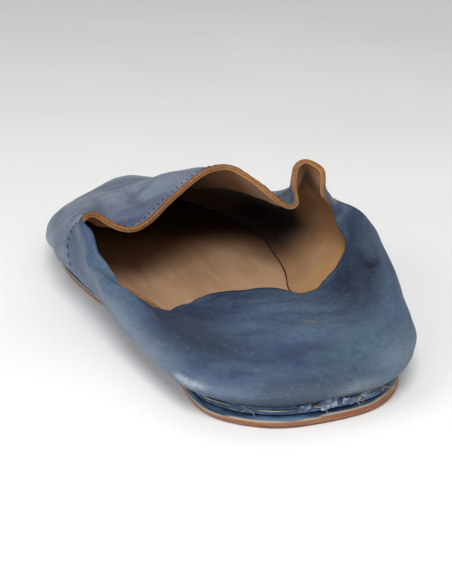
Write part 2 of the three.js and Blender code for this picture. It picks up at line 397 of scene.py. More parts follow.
# Node trees.
class Nodes:
    """A short hand for one material's node tree."""

    def __init__(self, name):
        self.material = bpy.data.materials.new(name)
        self.material.use_nodes = True
        self.tree = self.material.node_tree
        self.shader = self.tree.nodes["Principled BSDF"]
        self.places = self.add("ShaderNodeTexCoord", "Object")

    def add(self, kind, output, inputs=(), **settings):
        """A node with its settings, and constants or links for its inputs; gives one of its outputs."""
        node = self.tree.nodes.new(kind)
        for name, value in settings.items():
            setattr(node, name, value)
        for socket, value in dict(inputs).items():
            self.put(node, socket, value)
        return node.outputs[output]

    def put(self, node, socket, value):
        """Links a socket, or sets its constant."""
        if isinstance(value, bpy.types.NodeSocket):
            self.tree.links.new(value, node.inputs[socket])
        else:
            node.inputs[socket].default_value = value

    def attribute(self, name, output="Fac"):
        return self.add("ShaderNodeAttribute", output, attribute_name=name)

    def stretched(self, vector, scale):
        return self.add("ShaderNodeMapping", "Vector", {"Vector": vector, "Scale": scale})

    def noise(self, scale, detail=3.0, roughness=0.5, distortion=0.0, vector=None):
        inputs = {"Vector": self.places if vector is None else vector, "Scale": scale, "Detail": detail,
                  "Roughness": roughness, "Distortion": distortion}
        return self.add("ShaderNodeTexNoise", "Fac", inputs)

    def cells(self, scale, feature="F1", randomness=1.0):
        inputs = {"Vector": self.places, "Scale": scale, "Randomness": randomness}
        return self.add("ShaderNodeTexVoronoi", "Distance", inputs, feature=feature)

    def remap(self, value, low, high, to_low=0.0, to_high=1.0):
        inputs = {"Value": value, "From Min": low, "From Max": high, "To Min": to_low, "To Max": to_high}
        return self.add("ShaderNodeMapRange", "Result", inputs, interpolation_type="SMOOTHSTEP")

    def maths(self, operation, a, b):
        return self.add("ShaderNodeMath", "Value", {0: a, 1: b}, operation=operation)

    def mix(self, factor, a, b):
        """The first colour where the factor is 0, and the second where it is 1."""
        return self.add("ShaderNodeMix", 2, {"Factor": factor, 6: a, 7: b}, data_type="RGBA")

    def tint(self, colour, value, low, high, at_low, at_high, tone):
        """Lays a dye over a colour, as strongly as the value says between low and high."""
        return self.mix(self.remap(value, low, high, at_low, at_high), colour, dye(tone))

    def wear_and_shade(self, colour, name, strength, tone):
        """Lays a darker tone over a colour where an attribute of the mesh says so: wear from the foot, and
        painted shade.
        """
        return self.mix(self.maths("MULTIPLY", self.attribute(name), strength), colour, dye(tone))

    def bump(self, height, strength, distance, normal=None):
        inputs = {"Height": height, "Strength": strength, "Distance": distance}
        if normal is not None:
            inputs["Normal"] = normal
        return self.add("ShaderNodeBump", "Normal", inputs)

    def finish(self, colour, roughness, normal=None, specular=0.5, sheen=0.0):
        self.put(self.shader, "Base Color", colour)
        self.put(self.shader, "Roughness", roughness)
        self.shader.inputs["Specular IOR Level"].default_value = specular
        self.shader.inputs["Sheen Weight"].default_value = sheen
        if normal is not None:
            self.put(self.shader, "Normal", normal)
        return self.material


def dye(hex_colour):
    """A linear colour from its usual six-digit name."""
    channels = [int(hex_colour[n:n + 2], 16) / 255 for n in (0, 2, 4)]
    return (*[c / 12.92 if c <= 0.04045 else ((c + 0.055) / 1.055) ** 2.4 for c in channels], 1.0)


def blue_grain_leather():
    """Hand-dyed goatskin: clouded blue, darker where the dye pooled, with painted shade in its hollows and
    creases, pale from rubbing and with painted highlights on the crowns of the rolls.
    """
    n = Nodes("blue_grain_leather")
    lay = n.attribute("lay", "Vector")
    streaks = n.noise(34, 6, 0.62, 0.6, n.stretched(lay, (0.5, 0.5, 2.2)))
    clouds = n.noise(45, 5, 0.6, 0.4)
    blots = n.noise(110, 4, 0.65, 0.3)
    mottle = n.noise(420, 4, 0.7)
    base = n.mix(n.remap(streaks, 0.34, 0.66), dye("29395a"), dye("465c78"))
    base = n.tint(base, clouds, 0.38, 0.68, 0.0, 0.6, "4d637b")
    base = n.tint(base, blots, 0.52, 0.72, 0.0, 0.5, "2b3f62")
    base = n.tint(base, n.noise(24, 3, 0.5), 0.48, 0.7, 0.0, 0.5, "47606c")
    vamp = n.mix(n.remap(streaks, 0.35, 0.65), dye("525d77"), dye("7b8495"))
    vamp = n.tint(vamp, blots, 0.5, 0.72, 0.0, 0.45, "4a5876")
    base = n.mix(n.maths("MULTIPLY", n.attribute("vamp"), 0.8), base, vamp)
    # The dark marks, mostly painted shade.
    base = n.wear_and_shade(base, "dark", 0.9, "1c283a")
    # Painted shade in the bottoms of the pressed creases.
    base = n.wear_and_shade(base, "fold", 0.65, "202d44")
    wrinkles = n.noise(170, 6, 0.68, 1.4, n.stretched(lay, (0.6, 0.6, 2.0)))
    base = n.tint(base, wrinkles, 0.3, 0.47, 0.5, 0.0, "202e46")
    base = n.tint(base, mottle, 0.35, 0.5, 0.28, 0.0, "22324f")
    base = n.tint(base, mottle, 0.55, 0.72, 0.0, 0.2, "74869a")
    # Pale streaks: wear from rubbing, and painted highlights on the crowns of the rolls.
    rubbed_and_highlit = n.maths("MULTIPLY", n.attribute("rubbed_and_highlit"), n.remap(n.noise(1700, 5, 0.7), 0.36, 0.62, 0.45, 1.0))
    base = n.mix(rubbed_and_highlit, base, dye("98a3ac"))
    base = n.mix(n.attribute("nick"), base, dye("a58358"))
    scuff = n.maths("MULTIPLY", n.attribute("scuff"), n.remap(n.noise(800, 4, 0.6), 0.34, 0.5))
    base = n.mix(scuff, base, dye("10161f"))
    pores = n.cells(1100)
    pebbles = n.cells(430, "SMOOTH_F1", randomness=0.9)
    grain = n.noise(650, 5, 0.7)
    roughness = n.maths("ADD", n.remap(clouds, 0.3, 0.7, 0.38, 0.5), n.remap(mottle, 0.3, 0.7, 0.0, 0.12))
    normal = n.bump(wrinkles, 0.4, 0.0009)
    normal = n.bump(pebbles, 0.12, 0.0004, normal)
    normal = n.bump(grain, 0.25, 0.0003, normal)
    normal = n.bump(pores, 0.3, 0.0002, normal)
    return n.finish(base, roughness, normal, specular=0.42)


def cut_edge_leather():
    """The raw edge: tan fibres, burnt orange towards the grain side."""
    n = Nodes("cut_edge_leather")
    fibres = n.noise(1400, 4, 0.7)
    patches = n.noise(120, 3, 0.6)
    colour = n.mix(n.remap(fibres, 0.3, 0.7), dye("71492a"), dye("9c6c3f"))
    colour = n.tint(colour, patches, 0.55, 0.75, 0.0, 0.6, "6f4220")
    return n.finish(colour, 0.8, n.bump(fibres, 0.6, 0.0003), specular=0.25)


def lining_leather():
    """Undyed tan leather, flesh side to the foot: matt and faintly fibrous."""
    n = Nodes("lining_leather")
    clouds = n.noise(38, 5, 0.6, 0.5)
    fibres = n.noise(900, 5, 0.7, 0.4)
    stains = n.noise(18, 4, 0.55, 0.3)
    colour = n.mix(n.remap(clouds, 0.3, 0.7), dye("946a44"), dye("ad855a"))
    colour = n.tint(colour, fibres, 0.3, 0.7, 0.3, 0.0, "8e6238")
    colour = n.tint(colour, stains, 0.55, 0.75, 0.0, 0.4, "93693f")
    # Painted shade under the vamp and in the lining's recesses.
    colour = n.mix(n.attribute("dark"), colour, dye("38200f"))
    normal = n.bump(fibres, 0.35, 0.0002)
    normal = n.bump(n.noise(110, 4, 0.6, 0.8), 0.4, 0.0008, normal)
    return n.finish(colour, 0.82, normal, specular=0.25, sheen=0.15)


def insole_leather():
    """Smooth veg-tanned insole, pinkish tan, polished and darkened by the foot."""
    n = Nodes("insole_leather")
    grain_lines = n.noise(60, 5, 0.6, 0.5, n.stretched(n.places, (2.2, 0.35, 1.0)))
    clouds = n.noise(25, 4, 0.5, 0.3)
    pores = n.cells(1800)
    colour = n.mix(n.remap(grain_lines, 0.3, 0.7), dye("a98668"), dye("bd9a7b"))
    colour = n.tint(colour, clouds, 0.45, 0.7, 0.0, 0.5, "b58c68")
    colour = n.wear_and_shade(colour, "trodden", 0.6, "9c7555")
    # Painted shadow under the vamp.
    colour = n.mix(n.attribute("deep"), colour, dye("3a2418"))
    normal = n.bump(grain_lines, 0.25, 0.0004)
    normal = n.bump(pores, 0.2, 0.00015, normal)
    return n.finish(colour, n.remap(clouds, 0.3, 0.7, 0.5, 0.68), normal, specular=0.35)


def sole_leather():
    """Thick sole leather: pink-tan cut edge in fine layers, dark scuffed underside."""
    n = Nodes("sole_leather")
    layers = n.noise(160, 5, 0.65, 0.4, n.stretched(n.places, (0.5, 0.5, 7.0)))
    fibres = n.noise(1100, 4, 0.7)
    colour = n.mix(n.remap(layers, 0.3, 0.7), dye("85543d"), dye("a87659"))
    colour = n.tint(colour, fibres, 0.3, 0.6, 0.35, 0.0, "7f4a33")
    colour = n.mix(n.attribute("top_line"), colour, dye("a9a48c"))
    dyed = n.mix(n.remap(layers, 0.35, 0.65), dye("1f2f4e"), dye("4c6682"))
    colour = n.mix(n.attribute("dyed_top"), colour, dyed)
    scuffs = n.noise(70, 6, 0.7, 1.5, n.stretched(n.places, (3.0, 0.8, 1.0)))
    under = n.mix(n.remap(scuffs, 0.35, 0.65), dye("6d4c38"), dye("a3805f"))
    colour = n.mix(n.attribute("underside"), colour, under)
    normal = n.bump(layers, 0.5, 0.0005)
    normal = n.bump(fibres, 0.4, 0.0002, normal)
    return n.finish(colour, 0.72, normal, specular=0.3)


def rand_leather():
    """The blue strip between upper and sole: same skin as the upper, dirtier and more abraded."""
    n = Nodes("rand_leather")
    clouds = n.noise(120, 5, 0.65, 0.6)
    dirt = n.noise(320, 5, 0.7, 0.5)
    colour = n.mix(n.remap(clouds, 0.35, 0.65), dye("2d3e5c"), dye("5b7795"))
    colour = n.tint(colour, dirt, 0.55, 0.75, 0.0, 0.7, "20283a")
    colour = n.mix(n.attribute("top_line"), colour, dye("9fb0ba"))
    # Painted shadow along the top of the folded margin, under the upper's roll.
    colour = n.wear_and_shade(colour, "dark", 0.85, "10151f")
    normal = n.bump(dirt, 0.5, 0.0004)
    return n.finish(colour, n.remap(dirt, 0.3, 0.7, 0.5, 0.75), normal, specular=0.35)


def torn_fibres():
    """Leather torn open: pale grey-blue fibres with dye left in patches."""
    n = Nodes("torn_fibres")
    fibres = n.noise(900, 5, 0.75, 0.6)
    patches = n.noise(260, 3, 0.6)
    colour = n.mix(n.remap(patches, 0.42, 0.58), dye("3d5270"), dye("8e9cac"))
    colour = n.tint(colour, fibres, 0.5, 0.7, 0.0, 0.6, "c4c9ca")
    return n.finish(colour, 0.8, n.bump(fibres, 0.6, 0.0003), specular=0.25)


def waxed_thread(name, colour, paler):
    n = Nodes(name)
    strands = n.noise(2600, 2, 0.5, 0.0, n.stretched(n.places, (1.0, 1.0, 3.0)))
    mixed = n.mix(n.remap(strands, 0.35, 0.65), dye(colour), dye(paler))
    return n.finish(mixed, 0.7, n.bump(strands, 0.5, 0.0001), specular=0.3)


def paper_floor():
    n = Nodes("paper_floor")
    tone = n.mix(n.remap(n.noise(6, 3, 0.5), 0.3, 0.7), dye("f1f1f0"), dye("f5f5f4"))
    return n.finish(tone, 0.9, specular=0.1)


# The upper: a blue sheet over a tan lining, both cut at the same raw edge.
def upper_sheets():
    """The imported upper's grain side and flesh side, each as a bmesh of its own."""
    sheets = []
    for keep in range(2):
        whole = merged_copy("upper")
        groups = parted_at_corners(whole)
        # The grain side holds the lowest point of the turned-in margin.
        big = sorted(groups[:2], key=lambda g: min(v.co.z for f in g for v in f.verts))
        kept = set(big[keep])
        bmesh.ops.delete(whole, geom=[f for f in whole.faces if f not in kept], context="FACES")
        join_quads(whole)
        sheets.append(whole)
    return sheets


def walked_loops(edges):
    """Edges as closed lines of places, each walked from its first edge and ending where it starts."""
    left = dict.fromkeys(edges)  # unlike a set it keeps its order, so every run starts at the same edge
    loops = []
    while left:
        edge = next(iter(left))
        del left[edge]
        line, here = [edge.verts[0]], edge.verts[1]
        while True:
            line.append(here)
            onward = [e for e in here.link_edges if e in left]
            if not onward:
                break
            del left[onward[0]]
            here = onward[0].other_vert(here)
        loops.append(np.array([v.co[:] for v in line]))
    return loops


def rim_loops(mesh):
    """The two open rims of a sheet as ordered lines: the topline, then the margin under the insole."""
    bm = bmesh.new()
    bm.from_mesh(mesh)
    loops = [loop[:-1] for loop in walked_loops([e for e in bm.edges if e.is_boundary])]
    bm.free()
    return sorted(loops, key=lambda line: -line[:, 2].mean())


def along_topline(places, topline):
    """How far each place is from the topline, and how far round it the nearest point is, 0 to 1."""
    tree = tree_of(topline)
    found = [tree.find(p) for p in places]
    return np.array([f[2] for f in found]), np.array([f[1] for f in found]) / len(topline)


def seam_step(places, seam):
    """1 on the vamp's side of a side seam and 0 on the quarter's, blended over the thickness of the cut."""
    line = smooth_path(seam)
    order = np.argsort(line[:, 2])
    seam_along = np.interp(places[:, 2], line[order, 2], line[order, 1])
    return smooth_step(places[:, 1] - seam_along, -0.5 * MM, 0.6 * MM)


def pressed_creases(places):
    """How far the creases lift the skin at each place, and how deep in a fold the place is, 0 to 1."""
    lift = np.zeros(len(places))
    folded = np.zeros(len(places))
    for crease in CREASES:
        gap, share = distance_to_path(places, smooth_path(crease.path))
        width = crease.width * MM
        fade = np.sin(np.pi * np.clip(share, 0, 1)) ** 0.5
        trough = bell(gap, width) - 0.35 * bell(gap - 1.9 * width, width)
        lift -= crease.depth * MM * trough * fade
        if crease.depth > 0:
            folded += crease.depth * bell(gap, 0.6 * width) * fade
    return lift, np.clip(folded, 0, 1)


def within_reach(places, pull):
    """1 at the pull's own place, fading over its reach."""
    return bell(np.linalg.norm(places - np.array(last_point(*pull.at)), axis=1), pull.reach * MM)


def pulled(places):
    """The shift that the PULLS give to each place."""
    shift = np.zeros_like(places)
    for pull in PULLS:
        shift += np.array(pull.move) * MM * within_reach(places, pull)[:, None]
    return shift


def leaning_in(places):
    """The shift of the foot of the wall; it fades out upwards."""
    low = 1 - smooth_step(places[:, 2], 12 * MM, 24 * MM)
    return np.array(WALL_FOOT.move) * MM * (within_reach(places, WALL_FOOT) * low)[:, None]


def soft_unevenness(places, wavelength, seed):
    """A smooth hand-made unevenness, about -1 to 1."""
    waves = np.random.default_rng(seed)
    total = np.zeros(len(places))
    for _ in range(7):
        direction = waves.normal(size=3)
        direction /= np.linalg.norm(direction)
        length = wavelength * waves.uniform(0.7, 1.5)
        total += np.sin(places @ direction * 2 * np.pi / length + waves.uniform(0, 6.3))
    return total / 4


OPENING_MIDDLE = -29 * MM
LAY_RADIUS = 90 * MM  # the lay's own size is close to the sheet's, so a streak keeps its length
LAY_HEIGHT = 70 * MM


def lay_of_the_leather(mesh):
    """Even coordinates over a sheet: round the shoe, and up from the sole's margin to the topline."""
    places = vertex_places(mesh)
    edges = np.zeros(len(mesh.edges) * 2, dtype=np.int64)
    mesh.edges.foreach_get("vertices", edges)
    one, other = edges.reshape(-1, 2).T
    degree = np.bincount(one, minlength=len(places)) + np.bincount(other, minlength=len(places))
    tree = tree_of(places)
    topline, margin = [np.array([tree.find(p)[1] for p in rim]) for rim in rim_loops(mesh)]
    height = np.full(len(places), 0.5)
    # Each place takes the mean height of its neighbours until the rise from rim to rim is even.
    for _ in range(1500):
        height = np.bincount(one, height[other], len(places)) + np.bincount(other, height[one], len(places))
        height /= degree
        height[topline] = 1.0
        height[margin] = 0.0
    angle = np.arctan2(places[:, 1] - OPENING_MIDDLE, places[:, 0])
    return np.stack([LAY_RADIUS * np.cos(angle), LAY_RADIUS * np.sin(angle), LAY_HEIGHT * height], axis=1)


def lap_seams(lift, places, vamp):
    """Adds the side seams to the lift: the vamp laps over the quarter, with a groove between them."""
    for seam in SIDE_SEAMS.values():
        gap, _ = distance_to_path(places, smooth_path(seam))
        lift += 0.35 * MM * vamp * bell(gap, 9 * MM)
        lift += 0.3 * MM * (1 - vamp) * bell(gap - 6 * MM, 4 * MM)
        lift -= 0.55 * MM * bell(gap, 1.5 * MM)


def grain_sheet(bm, blue, cut_edge):
    """The blue sheet; also gives its skin and topline, and how far each place of the sheet has moved."""
    mesh = mesh_of(bm)
    lay = mesh.attributes.new("lay", "FLOAT_VECTOR", "POINT")
    lay.data.foreach_set("vector", lay_of_the_leather(mesh).astype(np.float32).ravel())
    mesh = refined(mesh)
    topline = rim_loops(mesh)[0]
    places = vertex_places(mesh)
    normals = vertex_normals(mesh)
    lift, folded = pressed_creases(places)
    gap, _ = along_topline(places, topline)
    lift += 0.22 * MM * soft_unevenness(places, 26 * MM, 3) * smooth_step(gap, 0, 8 * MM)
    lift += 0.12 * MM * soft_unevenness(places, 11 * MM, 4)
    left, right = [seam_step(places, SIDE_SEAMS[side]) for side in ("left", "right")]
    vamp = np.where(places[:, 0] < 0, left, right)
    lap_seams(lift, places, vamp)
    above_sole = smooth_step(places[:, 2], 8 * MM, 12 * MM)
    shift = normals * (lift * above_sole)[:, None] + pulled(places)
    # The quarter's raw edge is torn, and more so on the right.
    torn = 0.25 * MM + 0.65 * MM * smooth_step(places[:, 0], 22 * MM, 32 * MM)
    torn = (torn * bell(gap, 3 * MM) * (1 - vamp))[:, None]
    shift += torn * np.stack([soft_unevenness(places, 9 * MM, seed) for seed in (71, 72, 73)], axis=1)
    move_vertices(mesh, places + shift)
    write_attribute(mesh, "vamp", vamp)
    write_attribute(mesh, "fold", folded)
    for name, marks in (("rubbed_and_highlit", RUBBED_AND_HIGHLIT), ("dark", DARK_MARKS), ("nick", NICKS), ("scuff", SCUFFS)):
        write_attribute(mesh, name, marked(places, marks))
    topline = topline_order(topline + carried_along(topline, places, shift))
    skin = surface_of(mesh)
    sheet = thickened(mesh, GRAIN_THICKNESS, 1)
    piece = finished_piece("upper_leather", sheet, [blue, cut_edge])
    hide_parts("upper")
    return skin, topline, places, shift


def carried_along(places, leaders, shifts):
    """The shift of each place when it moves with the leaders beside it."""
    tree = tree_of(leaders)
    carried = np.zeros_like(places)
    for n, p in enumerate(places):
        near = tree.find_n(p, 4)
        weights = np.array([1 / (gap + 0.2 * MM) for _, _, gap in near])
        carried[n] = weights @ shifts[[index for _, index, _ in near]] / weights.sum()
    return carried


def topline_order(topline):
    """The topline as a closed line that starts at the heel's middle and goes round by the wearer's right."""
    start = np.argmin(np.abs(topline[:, 0]) + 10 * (topline[:, 1] > 0))
    line = np.roll(topline, -start, axis=0)
    return line if line[len(line) // 4, 0] > 0 else line[::-1]


def lining_sheet(bm, tan, grain_places, grain_shifts):
    """The tan sheet, which goes along with the blue one; gives its topline."""
    mesh = refined(mesh_of(bm))
    topline = rim_loops(mesh)[0]
    places, normals = vertex_places(mesh), vertex_normals(mesh)
    gap, round_share = along_topline(places, topline)
    near_insole = bell(places[:, 2] - 9 * MM, 6 * MM)
    turn = round_share * 2 * np.pi
    puckers = np.sin(turn * 46) * (0.6 + 0.4 * np.sin(turn * 7))
    lift = 0.3 * MM * puckers * near_insole + 0.25 * MM * soft_unevenness(places, 18 * MM, 9)
    away_from_rims = smooth_step(gap, 1 * MM, 6 * MM) * smooth_step(places[:, 2], 7.6 * MM, 9.5 * MM)
    not_overhead = smooth_step(normals[:, 2], -0.6, -0.2)[:, None]
    places = (places + normals * (lift * away_from_rims)[:, None] + leaning_in(places) * not_overhead
              + carried_along(places, grain_places, grain_shifts))
    move_vertices(mesh, places)
    write_attribute(mesh, "dark", marked(places, LINING_SHADES))
    inner_topline = topline + carried_along(topline, grain_places, grain_shifts)
    finished_piece("upper_lining", thickened(mesh, LINING_THICKNESS, 0), [tan])
    return topline_order(inner_topline)


# Flat pieces.
def sole_piece(node, name, material, unevenness):
    """A packed flat piece, its sides made softly uneven; also its places and normals before that."""
    bm = merged_copy(node)
    join_quads(bm)
    mesh = refined(mesh_of(bm))
    places, normals = vertex_places(mesh), vertex_normals(mesh)
    side = 1 - np.abs(normals[:, 2])
    lift = unevenness * MM * side * soft_unevenness(places, 9 * MM, 21)
    move_vertices(mesh, places + normals * lift[:, None])
    piece = finished_piece(name, mesh, [material])
    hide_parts(node)
    return mesh, places, normals


def toe_lift(places):
    """How far the toe spring lifts the sole at each place."""
    along = places[:, 1] / MM + SOLE_LENGTH / 2
    rise = np.clip((along - SPRING_START) / (SOLE_LENGTH - SPRING_START), 0, None)
    return TOE_SPRING * rise ** 2


def outsole_piece(material):
    """The sole's edge: bare leather, then dye along its upper side, with a pale line between them."""
    mesh, places, normals = sole_piece("outsole", "outsole_leather", material, 0.12)
    height = places[:, 2] - toe_lift(places)
    tan_height = 2.55 * MM + 0.018 * places[:, 0] + 0.25 * MM * soft_unevenness(places, 20 * MM, 51)
    write_attribute(mesh, "top_line", smooth_step(height - tan_height, -0.1 * MM, 0.25 * MM))
    write_attribute(mesh, "dyed_top", smooth_step(height - tan_height, 0.4 * MM, 0.6 * MM))
    write_attribute(mesh, "underside", smooth_step(-normals[:, 2], 0.6, 0.95))


def rand_piece(material):
    mesh, places, _ = sole_piece("rand", "rand_strip", material, 0.25)
    height = places[:, 2] - toe_lift(places)
    write_attribute(mesh, "top_line", smooth_step(height, 5.35 * MM, 5.7 * MM) * 0.6)


def insole_piece(material):
    """The insole, trodden dark under heel and ball and shaded deep under the vamp."""
    mesh, places, _ = sole_piece("insole", "insole_board", material, 0.05)
    along = places[:, 1] / MM + SOLE_LENGTH / 2
    aside = places[:, 0] / MM
    move_vertices(mesh, vertex_places(mesh) + leaning_in(places))
    heel = np.exp(-(((along - 48) / 34) ** 2) - ((aside / 26) ** 2))
    ball = np.exp(-(((along - 178) / 34) ** 2) - (((aside + 4) / 34) ** 2))
    write_attribute(mesh, "trodden", np.clip(heel + ball, 0, 1))
    # Painted shadow deep under the vamp.
    write_attribute(mesh, "deep", 0.75 * smooth_step(along + 0.35 * aside, 158, 188))


# Cords and threads.
def cords(name, lines, radii, radius, material, sides, closed):
    """Round cords along lines, as one piece; the radii say how many times the radius each point gets."""
    curve = bpy.data.curves.new(name, "CURVE")
    curve.dimensions = "3D"
    curve.bevel_depth = radius
    curve.bevel_resolution = sides
    curve.use_fill_caps = True
    for line, thickness in zip(lines, radii):
        spline = curve.splines.new("POLY")
        spline.points.add(len(line) - 1)
        places = np.column_stack([line, np.ones(len(line))])
        spline.points.foreach_set("co", places.astype(np.float32).ravel())
        spline.points.foreach_set("radius", np.asarray(thickness, dtype=np.float32))
        spline.use_cyclic_u = closed
    holder = placed("holder", curve)
    mesh = bpy.data.meshes.new_from_object(holder.evaluated_get(bpy.context.evaluated_depsgraph_get()))
    bpy.data.objects.remove(holder)
    bpy.data.curves.remove(curve)
    mesh.name = name
    return finished_piece(name, mesh, [material])


def evenly_spaced(line, step, closed=False):
    """The same line with its points an even step apart."""
    if closed:
        line = np.vstack([line, line[:1]])
    total = np.concatenate([[0], np.cumsum(np.linalg.norm(np.diff(line, axis=0), axis=1))])
    count = max(2, int(round(total[-1] / step)))
    at = np.linspace(0, total[-1], count + 1)[:(-1 if closed else None)]
    return np.column_stack([np.interp(at, total, line[:, k]) for k in range(3)])


def edge_beads(outer, inner, dyed, raw, tan, blue):
    """The cut edge in its three lines: a dark line on the grain side, raw leather, and the lining's edge.
    Where the edge is rolled over, a blue cord takes their place."""
    outer, inner = evenly_spaced(outer, 1.2 * MM, True), evenly_spaced(inner, 0.6 * MM, True)
    tree = tree_of(inner)
    inner = np.array([tree.find(p)[0][:] for p in outer])
    on_throat = smooth_step(outer[:, 1], -33 * MM, -26 * MM)
    tan_lip = marked(outer, [LEFT_TAN_LIP])
    rolled = marked(outer, [LEFT_EDGE_ROLL])
    shown = 1 - rolled
    wobble = 0.07 * soft_unevenness(outer, 6 * MM, 31)
    wobble = wobble + 0.3 * marked(outer, [THROAT_TEAR]) * soft_unevenness(outer, 2.6 * MM, 33)
    # For each line: its place across the cut, its material, its thickness and its slot.
    lines = {
        "edge_grain_line": (0.1, dyed, (0.15 + 0.25 * on_throat) * shown, "blue_leather"),
        "cut_edge_bead": (0.48, raw, (0.45 + 0.4 * on_throat) * shown + 0.6 * tan_lip, "tan_leather"),
        "edge_lining_line": (0.88, tan, (0.2 + 0.3 * on_throat) * shown, "tan_leather"),
        "rolled_edge": (0.5, blue, 1.15 * rolled, "blue_leather"),
    }
    for name, (share, material, radii, slot) in lines.items():
        line = outer + (inner - outer) * share
        for _ in range(2):
            line = (np.roll(line, 1, axis=0) + 2 * line + np.roll(line, -1, axis=0)) / 4
        line[:, 2] += 1.1 * MM * tan_lip
        radii = np.maximum(radii + wobble * (radii > 0.1), 0.01)
        cords(name, [line], [radii], 1.0 * MM, material, sides=3, closed=True)


def stitched_row(name, line, surface, length, gap, thickness, material):
    """A row of short stitches along a line on a surface, each a drop of thread pressed into the leather."""
    bm = bmesh.new()
    steps = np.linalg.norm(np.diff(line, axis=0), axis=1)
    total = np.concatenate([[0], np.cumsum(steps)])
    count = int(total[-1] / (length + gap))
    for n in range(count):
        middle = (n + 0.5) * (length + gap) + rng.uniform(-0.12, 0.12) * length
        further = min(middle + 0.4 * length, total[-1])
        centre, ahead = [Vector([np.interp(at, total, line[:, k]) for k in range(3)])
                         for at in (middle, further)]
        forward = (ahead - centre).normalized()
        normal = surface.find_nearest(centre)[1]
        side = normal.cross(forward).normalized()
        normal = forward.cross(side)
        turn = Matrix((forward, side, normal)).transposed().to_4x4()
        shape = Matrix.Diagonal((0.5 * length, 0.5 * thickness, 0.42 * thickness, 1))
        place = Matrix.Translation(centre + normal * 0.2 * thickness)
        askew = Matrix.Rotation(rng.normal(0, 0.08), 4, "Z")
        lying = Matrix.Rotation(math.pi / 2, 4, "Y")
        bmesh.ops.create_uvsphere(bm, u_segments=8, v_segments=6, radius=1.0,
                                  matrix=place @ turn @ askew @ shape @ lying)
    finished_piece(name, mesh_of(bm, name), [material])


def surface_of(mesh):
    """A finder of the nearest point and normal on a sheet."""
    bm = bmesh.new()
    bm.from_mesh(mesh)
    tree = BVHTree.FromBMesh(bm)
    bm.free()
    return tree


def row_beside_topline(surface, topline, inset):
    """Part of the topline moved down onto the sheet by the inset, found on the surface itself."""
    line = []
    for before, place, after in zip(topline, topline[1:], topline[2:]):
        along = Vector(after - before).normalized()
        _, normal, _, _ = surface.find_nearest(Vector(place))
        inward = along.cross(normal)
        found = []
        for side in (1, -1):
            wanted = Vector(place) + inward * inset * side
            found.append((surface.find_nearest(wanted)[0], wanted))
        line.append(min(found, key=lambda f: (f[0] - f[1]).length)[0])
    line = np.array(line)
    for _ in range(6):
        line[1:-1] = (line[:-2] + 2 * line[1:-1] + line[2:]) / 4
    return np.array([surface.find_nearest(Vector(p))[0] for p in line])


# The heel's edge: folded margin, threads and torn bits between upper and sole.
def level_line(node, height):
    """The outer line of a flat piece at a height above the ground, followed over the toe spring."""
    bm = merged_copy(node)
    for v in bm.verts:
        v.co.z -= toe_lift(np.array([v.co[:]]))[0]
    everything = bm.verts[:] + bm.edges[:] + bm.faces[:]
    level = {"plane_co": (0, 0, height), "plane_no": (0, 0, 1)}
    cut = bmesh.ops.bisect_plane(bm, geom=everything, **level)["geom_cut"]
    loops = walked_loops([e for e in cut if isinstance(e, bmesh.types.BMEdge)])
    bm.free()
    longest = max(loops, key=lambda line: np.linalg.norm(np.diff(line, axis=0), axis=1).sum())
    return evenly_spaced(longest[:-1], 1.5 * MM, True)


def ground_line(line, inset, height):
    """A level line moved inwards and to a height, lifted with the toe."""
    ahead = np.roll(line, -2, axis=0) - np.roll(line, 2, axis=0)
    ahead /= np.linalg.norm(ahead, axis=1)[:, None]
    across = np.column_stack([-ahead[:, 1], ahead[:, 0], np.zeros(len(line))])
    inwards = np.sign(np.sum(across * -line, axis=1).sum())
    moved = line + across * inwards * np.asarray(inset).reshape(-1, 1)
    moved[:, 2] = height + toe_lift(moved)
    return moved


def edge_layers(blue, pale_thread):
    """The upper's folded margin on the rand, and the pale thread that lies in the joint under it."""
    outline = level_line("rand", 5.0 * MM)
    uneven = soft_unevenness(outline, 14 * MM, 61)
    fold_height = 6.75 * MM + 0.15 * MM * soft_unevenness(outline, 11 * MM, 64)
    fold = ground_line(outline, 1.5 * MM + 0.3 * MM * uneven, fold_height)
    fuller = 1 + 0.18 * soft_unevenness(outline, 9 * MM, 62)
    margin = cords("folded_margin", [fold], [fuller], 1.0 * MM, blue, sides=3, closed=True)
    places = vertex_places(margin.data)
    # Painted shadow along the top of the folded margin, where the upper's roll hangs over it.
    write_attribute(margin.data, "dark", smooth_step(places[:, 2] - toe_lift(places), 6.5 * MM, 7.3 * MM))
    thread_height = 5.95 * MM + 0.12 * MM * soft_unevenness(outline, 8 * MM, 63)
    thread = ground_line(outline, 0.35 * MM + 0.15 * MM * uneven, thread_height)
    shows = np.clip(0.45 + 0.9 * soft_unevenness(outline, 16 * MM, 65), 0.05, 1.1)
    cords("edge_thread", [thread], [shows], 0.24 * MM, pale_thread, sides=2, closed=True)


# Threads that have come loose: where the tuft starts, which way it hangs, how many threads and how long.
TUFTS = [
    Tuft("right_corner", (44.5, 97.5, 39.5), (-0.4, -0.7, -0.5), 7, 1.7),
    Tuft("left_corner", (-54, 104, 39), (-0.3, -0.8, -0.3), 3, 2.2),
    Tuft("heel_middle", (-5, -1, 6), (1.0, -0.1, 0.15), 5, 5.0),
    Tuft("heel_right", (8, -1, 6), (1.0, 0.1, 0.25), 4, 5.0),
    Tuft("heel_far_right", (20, 4, 6), (0.9, 0.5, 0.3), 4, 6.0),
    Tuft("heel_left", (-26, 6, 6), (0.9, -0.5, -0.1), 2, 6.0),
]
# Torn bits of the folded margin: where, which way along the edge, width, height and how far they stand off.
FLAKES = [
    Flake((-9, -2, 6.8), (1, -0.1, 0.1), 4.0, 2.4, 0.6),
    Flake((-1, -2.5, 7.4), (1, 0.0, 0.2), 5.5, 3.8, 1.2),
    Flake((6, -2, 7.0), (1, 0.1, -0.1), 4.5, 2.6, 1.4),
    Flake((13, 0.5, 7.4), (1, 0.3, 0.3), 4.0, 2.2, 0.8),
    Flake((21, 5, 7.6), (1, 0.6, 0.2), 5.0, 1.8, 0.6),
]


